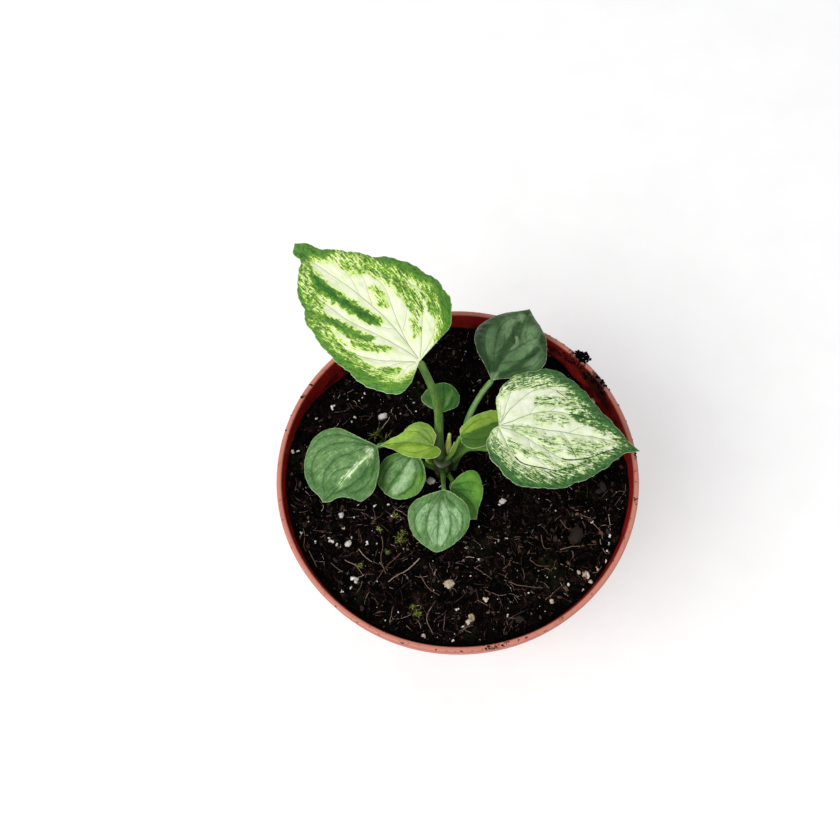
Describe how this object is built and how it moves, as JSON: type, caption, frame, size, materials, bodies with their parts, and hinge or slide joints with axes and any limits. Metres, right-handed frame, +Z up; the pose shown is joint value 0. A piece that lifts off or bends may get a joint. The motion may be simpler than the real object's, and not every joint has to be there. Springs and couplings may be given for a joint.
{
  "type": "potted syngonium",
  "caption": "Young variegated house plant with heart-shaped leaves on long stalks, growing in a round plastic nursery pot filled with potting mix.",
  "frame": {"origin": "middle of the pot's underside, on the flat pad that it rests on", "axes": "+Z up along the pot's axis; the picture is taken from the -Y side; the largest leaf leans towards -X +Y"},
  "size_m": [0.12, 0.1331, 0.142],
  "materials": {
    "pot": "moulded orange plastic, satin",
    "soil": "moist dark potting mix, crumbly",
    "stem_and_roots": "green plant tissue, matt",
    "leaf_a_blade": "leaf surface, waxy sheen",
    "leaf_a_stalk": "leaf stalk, smooth",
    "leaf_b_blade": "leaf surface, waxy sheen",
    "leaf_b_stalk": "leaf stalk, smooth",
    "leaf_c_blade": "leaf surface, waxy sheen",
    "leaf_c_stalk": "leaf stalk, smooth",
    "leaf_d_blade": "leaf surface, waxy sheen",
    "leaf_d_stalk": "leaf stalk, smooth",
    "leaf_e_blade": "leaf surface, waxy sheen",
    "leaf_e_stalk": "leaf stalk, smooth",
    "leaf_f_blade": "leaf surface, waxy sheen",
    "leaf_f_stalk": "leaf stalk, smooth",
    "leaf_g_blade": "leaf surface, waxy sheen",
    "leaf_g_stalk": "leaf stalk, smooth",
    "leaf_h_blade": "leaf surface, waxy sheen",
    "leaf_h_stalk": "leaf stalk, smooth",
    "leaf_i_blade": "leaf surface, waxy sheen",
    "leaf_i_stalk": "leaf stalk, smooth",
    "leaf_j_blade": "leaf surface, waxy sheen",
    "leaf_j_stalk": "leaf stalk, smooth",
    "new_shoot": "young rolled leaf, smooth",
    "perlite": "porous white grain",
    "bark": "rough bark"
  },
  "bodies": {
    "root": {"pot": "pot", "soil": "soil", "stem_and_roots": "stem_and_roots", "leaf_a_blade": "leaf_a_blade", "leaf_a_stalk": "leaf_a_stalk", "leaf_b_blade": "leaf_b_blade", "leaf_b_stalk": "leaf_b_stalk", "leaf_c_blade": "leaf_c_blade", "leaf_c_stalk": "leaf_c_stalk", "leaf_d_blade": "leaf_d_blade", "leaf_d_stalk": "leaf_d_stalk", "leaf_e_blade": "leaf_e_blade", "leaf_e_stalk": "leaf_e_stalk", "leaf_f_blade": "leaf_f_blade", "leaf_f_stalk": "leaf_f_stalk", "leaf_g_blade": "leaf_g_blade", "leaf_g_stalk": "leaf_g_stalk", "leaf_h_blade": "leaf_h_blade", "leaf_h_stalk": "leaf_h_stalk", "leaf_i_blade": "leaf_i_blade", "leaf_i_stalk": "leaf_i_stalk", "leaf_j_blade": "leaf_j_blade", "leaf_j_stalk": "leaf_j_stalk", "new_shoot": "new_shoot", "perlite_1": "perlite", "perlite_2": "perlite", "perlite_3": "perlite", "perlite_4": "perlite", "perlite_5": "perlite", "bark_chip_1": "bark", "bark_chip_2": "bark", "bark_chip_3": "bark", "bark_chip_4": "bark"}
  },
  "joints": []
}
